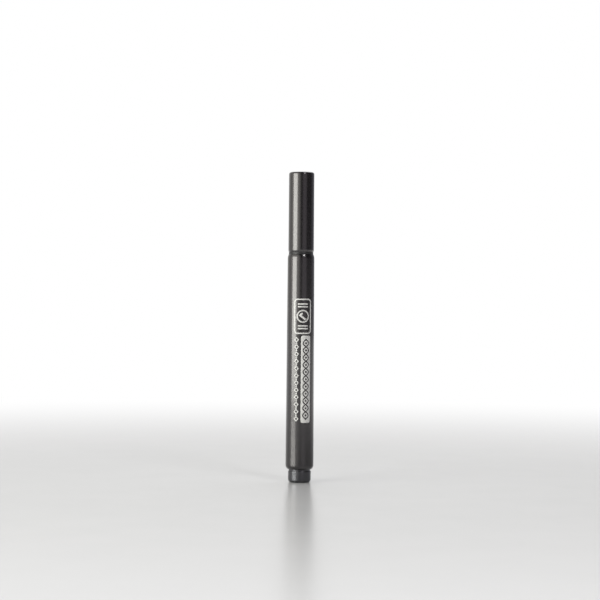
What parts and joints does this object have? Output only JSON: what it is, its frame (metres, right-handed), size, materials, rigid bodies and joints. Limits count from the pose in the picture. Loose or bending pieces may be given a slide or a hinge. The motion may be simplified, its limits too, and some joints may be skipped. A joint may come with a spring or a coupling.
{
  "type": "counterfeit detector pen",
  "caption": "Felt-tipped marker with a round tapered barrel, a pull-off cap with an inner seal and a narrow tail plug; its ink tests banknote paper.",
  "frame": {"origin": "centre of the tail plug's flat end, on which the pen stands", "axes": "+Z along the pen from the tail to the cap; -Y is the front, where the print on the barrel faces; +X to the right seen from the front"},
  "size_m": [0.0124, 0.0124, 0.1368],
  "materials": {
    "gunmetal": "moulded plastic with a glossy gunmetal metallic lacquer",
    "plug_plastic": "glossy dark grey metallic plastic, coloured through",
    "black_plastic": "satin black moulded plastic",
    "nib_felt": "pressed polyester fibre stained amber by iodine ink",
    "reservoir_fibre": "soft polyester fibre bundle soaked in amber ink",
    "clear_film": "thin clear wrapping film",
    "natural_plastic": "soft milky-white unpigmented plastic",
    "print_ink": "thin white pad-printed ink"
  },
  "bodies": {
    "pen": {"barrel": "gunmetal", "tail_plug": "plug_plastic", "nib_section": "black_plastic", "nib": "nib_felt", "ink_reservoir": "reservoir_fibre", "reservoir_film": "clear_film"},
    "cap": {"cap_shell": "gunmetal", "cap_inner_seal": "natural_plastic"}
  },
  "joints": [
    {"name": "cap_slide", "type": "slide", "parent": "pen", "child": "cap", "axis": [0, 0, 1], "range_m": [0, 0.045]}
  ]
}
